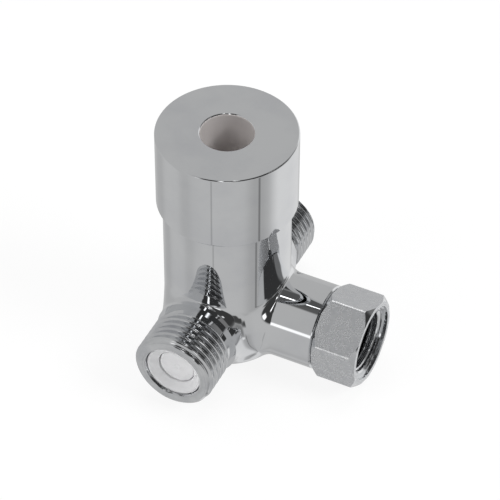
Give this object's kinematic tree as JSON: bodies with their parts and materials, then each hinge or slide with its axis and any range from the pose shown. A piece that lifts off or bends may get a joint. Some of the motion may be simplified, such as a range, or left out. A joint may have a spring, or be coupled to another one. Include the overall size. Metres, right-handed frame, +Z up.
{
  "type": "mixing valve for automatic tap",
  "caption": "Chromed mixing valve for an automatic tap: upright barrel with a temperature knob, threaded inlets in line and a side outlet with a union nut.",
  "frame": {"origin": "centre of the flat foot of the barrel, on the barrel's axis", "axes": "+Z up the barrel's axis through the knob, +X along the outlet, -Y along the front inlet, +Y along the rear inlet"},
  "size_m": [0.0577, 0.0618, 0.067],
  "materials": {
    "chrome": "polished chrome plate",
    "satin_chrome": "satin chrome plate",
    "brass": "turned",
    "steel": "bright stainless",
    "white_plastic": "moulded, matt",
    "grey_plastic": "moulded, satin",
    "rubber": "matt"
  },
  "bodies": {
    "valve_body": {"valve_body": "chrome", "gland_nut": "brass", "gland_oring": "rubber", "thrust_washer": "white_plastic", "stop_pin": "steel", "front_check_housing": "white_plastic", "front_check_guide": "white_plastic", "front_check_spring": "steel", "front_check_oring": "rubber", "rear_check_housing": "white_plastic", "rear_check_guide": "white_plastic", "rear_check_spring": "steel", "rear_check_oring": "rubber", "nut_retaining_ring": "steel", "union_washer": "rubber"},
    "knob_and_spool": {"temperature_knob": "chrome", "knob_screw": "steel", "spindle": "brass", "mixing_spool": "grey_plastic", "circlip": "steel", "spindle_oring_lower": "rubber", "spindle_oring_upper": "rubber"},
    "union_nut": {"union_nut": "satin_chrome"},
    "front_poppet": {"front_check_poppet": "white_plastic"},
    "rear_poppet": {"rear_check_poppet": "white_plastic"}
  },
  "joints": [
    {"name": "knob_turn", "type": "hinge", "parent": "valve_body", "child": "knob_and_spool", "pos_m": [0, 0, 0.04564], "axis": [0, 0, 1], "range_deg": [-45, 45]},
    {"name": "nut_spin", "type": "hinge", "parent": "valve_body", "child": "union_nut", "pos_m": [0.03417, 0, 0.0126], "axis": [1, 0, 0], "continuous": true},
    {"name": "front_check_slide", "type": "slide", "parent": "valve_body", "child": "front_poppet", "axis": [0, 1, 0], "range_m": [0, 0.002], "stiffness_N_per_m": 150, "springref_m": -0.002, "deforming": ["front_check_spring"]},
    {"name": "rear_check_slide", "type": "slide", "parent": "valve_body", "child": "rear_poppet", "axis": [0, -1, 0], "range_m": [0, 0.002], "stiffness_N_per_m": 150, "springref_m": -0.002, "deforming": ["rear_check_spring"]}
  ]
}
